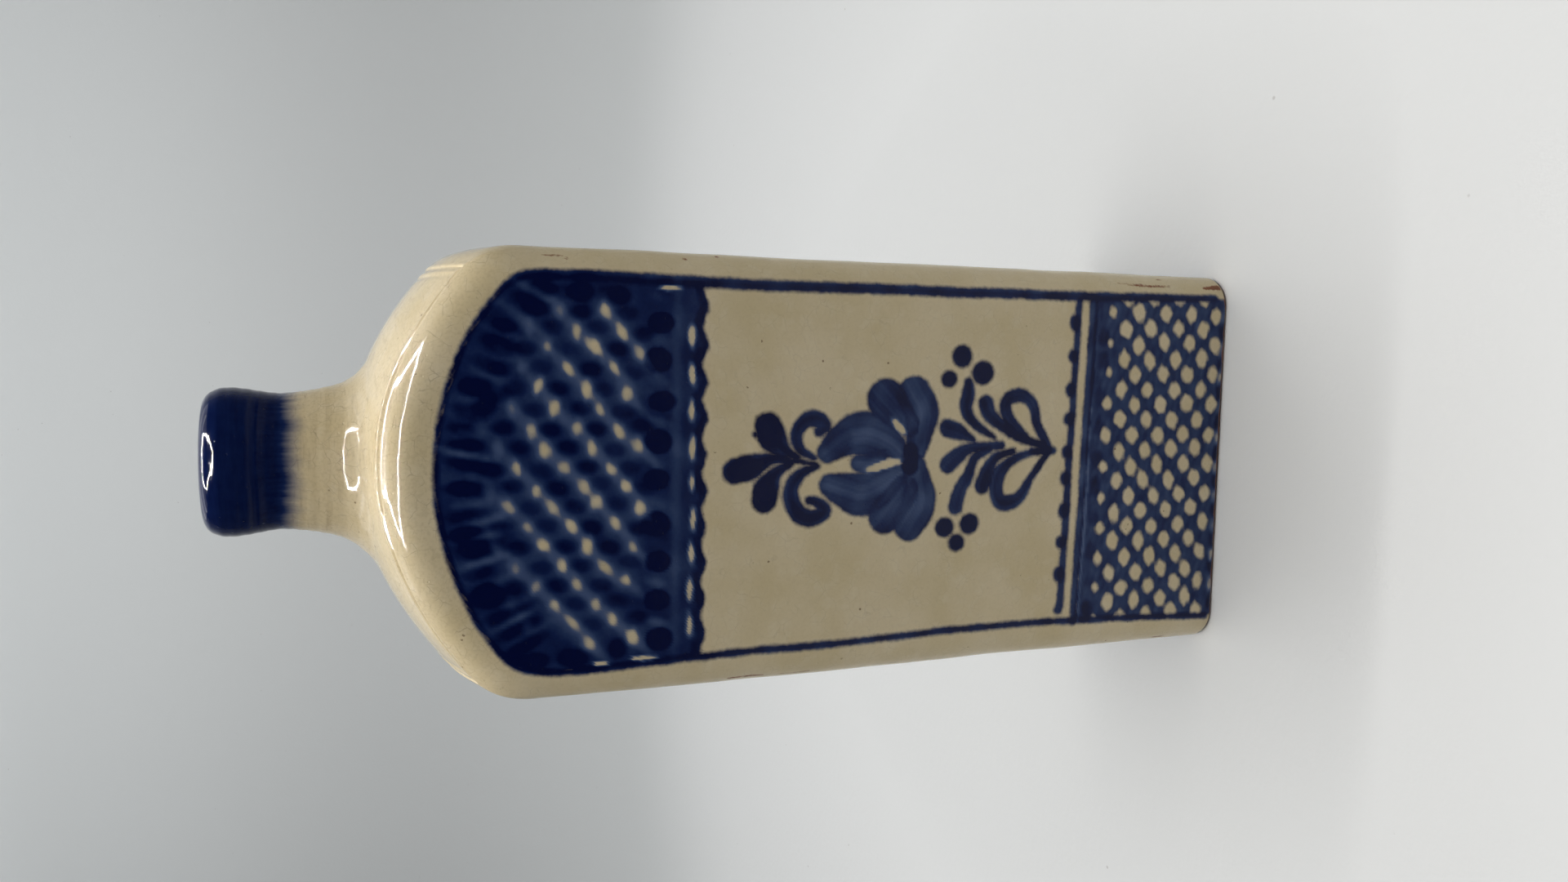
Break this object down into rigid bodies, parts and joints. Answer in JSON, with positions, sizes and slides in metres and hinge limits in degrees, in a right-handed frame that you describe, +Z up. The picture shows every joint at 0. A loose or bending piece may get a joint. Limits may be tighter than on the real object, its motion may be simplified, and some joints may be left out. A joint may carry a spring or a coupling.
{
  "type": "talavera bottle vase",
  "caption": "Rectangular slab-built ceramic bottle vase with arched walls, domed shoulder, short flared neck and thick rolled lip, glazed and painted in cobalt.",
  "frame": {"origin": "centre of the foot's rectangle, on the surface the vase stands on", "axes": "+Z up through the neck, -Y out of the best painted face, +X to that face's right"},
  "size_m": [0.1, 0.068, 0.2514],
  "materials": {
    "cream_glaze": "glossy cream tin glaze with cobalt brush painting, fine crackle and small brown specks",
    "cobalt_glaze": "glossy deep cobalt glaze",
    "bare_clay": "dry unglazed terracotta foot"
  },
  "bodies": {
    "root": {"base_slab": "bare_clay", "front_slab": "cream_glaze", "back_slab": "cream_glaze", "left_slab": "cream_glaze", "right_slab": "cream_glaze", "shoulder": "cream_glaze", "neck": "cream_glaze", "lip": "cobalt_glaze"}
  },
  "joints": []
}
